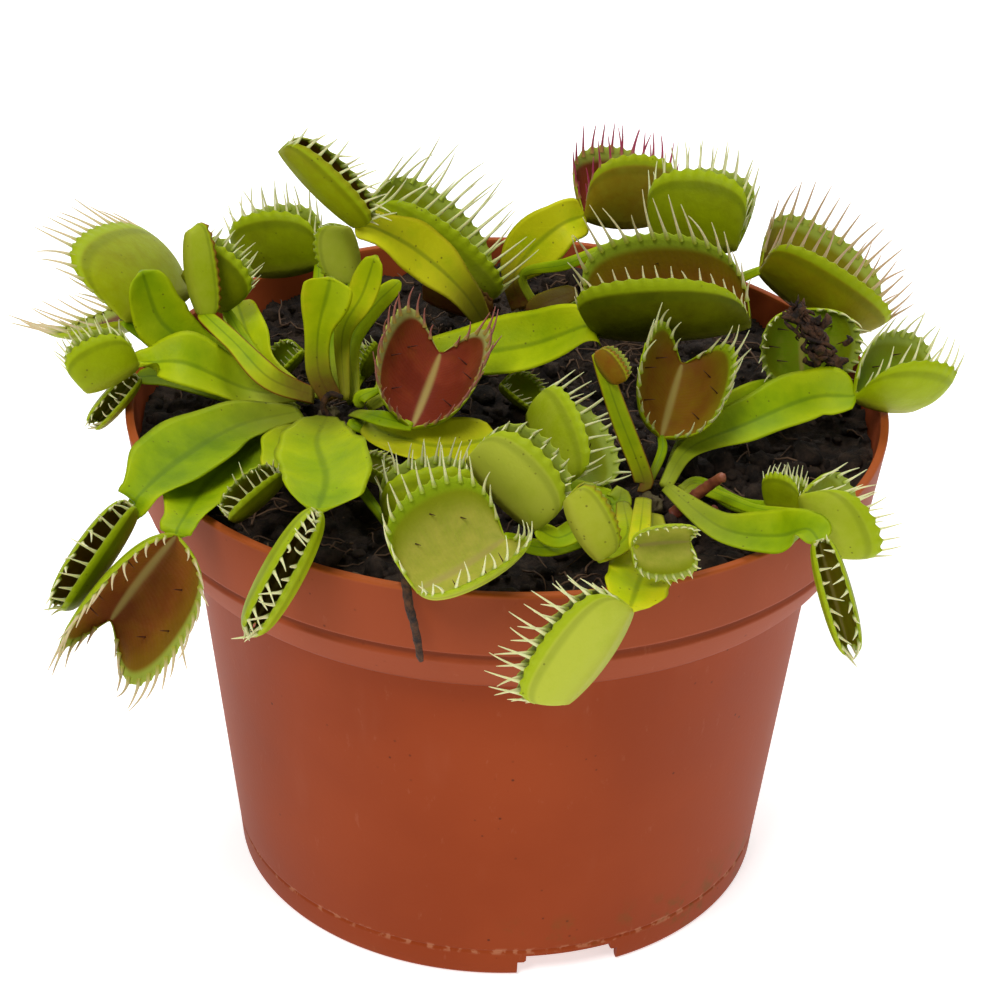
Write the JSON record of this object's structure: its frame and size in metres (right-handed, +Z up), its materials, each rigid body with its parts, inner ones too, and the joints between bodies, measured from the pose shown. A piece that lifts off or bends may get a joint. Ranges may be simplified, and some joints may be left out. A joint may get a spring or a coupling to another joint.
{
  "type": "potted venus flytrap",
  "caption": "Venus flytrap in a round tapered nursery pot: three rosettes of winged stalks and toothed two-lobed traps over dark peat.",
  "frame": {"origin": "the pot's axis at the surface it stands on", "axes": "+Z up along the pot's axis, the front that the picture shows faces -Y, and +X is its right"},
  "size_m": [0.1489, 0.1322, 0.1233],
  "materials": {
    "terracotta_plastic": "satin",
    "peat": "matte",
    "leaf_green": "satin",
    "leaf_maroon": "satin",
    "crown_tissue": "matte",
    "red_stalk": "matte",
    "dry_stalk": "matte"
  },
  "bodies": {
    "root": {"crown_back": "crown_tissue", "crown_left": "crown_tissue", "crown_right": "crown_tissue", "dead_leaf": "dry_stalk", "leaf_back_green": "leaf_green", "leaf_back_left": "leaf_green", "leaf_back_maroon_blade": "leaf_maroon", "leaf_back_maroon_bud": "leaf_maroon", "leaf_back_open": "leaf_green", "leaf_back_red": "leaf_green", "leaf_back_right": "leaf_green", "leaf_back_tall": "leaf_green", "leaf_centre_flat": "leaf_green", "leaf_centre_green": "leaf_green", "leaf_centre_largest": "leaf_green", "leaf_centre_left_pale": "leaf_green", "leaf_centre_maroon": "leaf_maroon", "leaf_centre_shaded": "leaf_green", "leaf_centre_smooth": "leaf_green", "leaf_far_left_blade": "leaf_green", "leaf_far_left_upper": "leaf_green", "leaf_far_right": "leaf_green", "leaf_front_centre": "leaf_green", "leaf_front_folded": "leaf_green", "leaf_front_hanging": "leaf_green", "leaf_front_hidden": "leaf_green", "leaf_front_left_lower": "leaf_green", "leaf_front_left_spoon": "leaf_green", "leaf_front_left_upper": "leaf_green", "leaf_front_left_yellow": "leaf_green", "leaf_front_pale": "leaf_green", "leaf_left_dark": "leaf_green", "leaf_left_narrow": "leaf_green", "leaf_left_pointed": "leaf_green", "leaf_left_ragged": "leaf_green", "leaf_left_shaded": "leaf_green", "leaf_left_wide": "leaf_green", "leaf_right_brown": "leaf_green", "leaf_right_hanging": "leaf_green", "leaf_right_low": "leaf_green", "leaf_right_middle": "leaf_green", "leaf_right_small": "leaf_green", "leaf_seedling": "leaf_green", "leaf_small_low": "leaf_green", "leaf_small_right": "leaf_green", "leaf_tiny_pale": "leaf_green", "leaf_upright_broad": "leaf_green", "leaf_upright_bud": "leaf_green", "leaf_upright_curling": "leaf_green", "leaf_upright_narrow": "leaf_green", "pot": "terracotta_plastic", "soil": "peat", "stub_hooked": "dry_stalk", "stub_red": "red_stalk", "stub_short": "red_stalk", "twig_on_rim": "dry_stalk"}
  },
  "joints": []
}
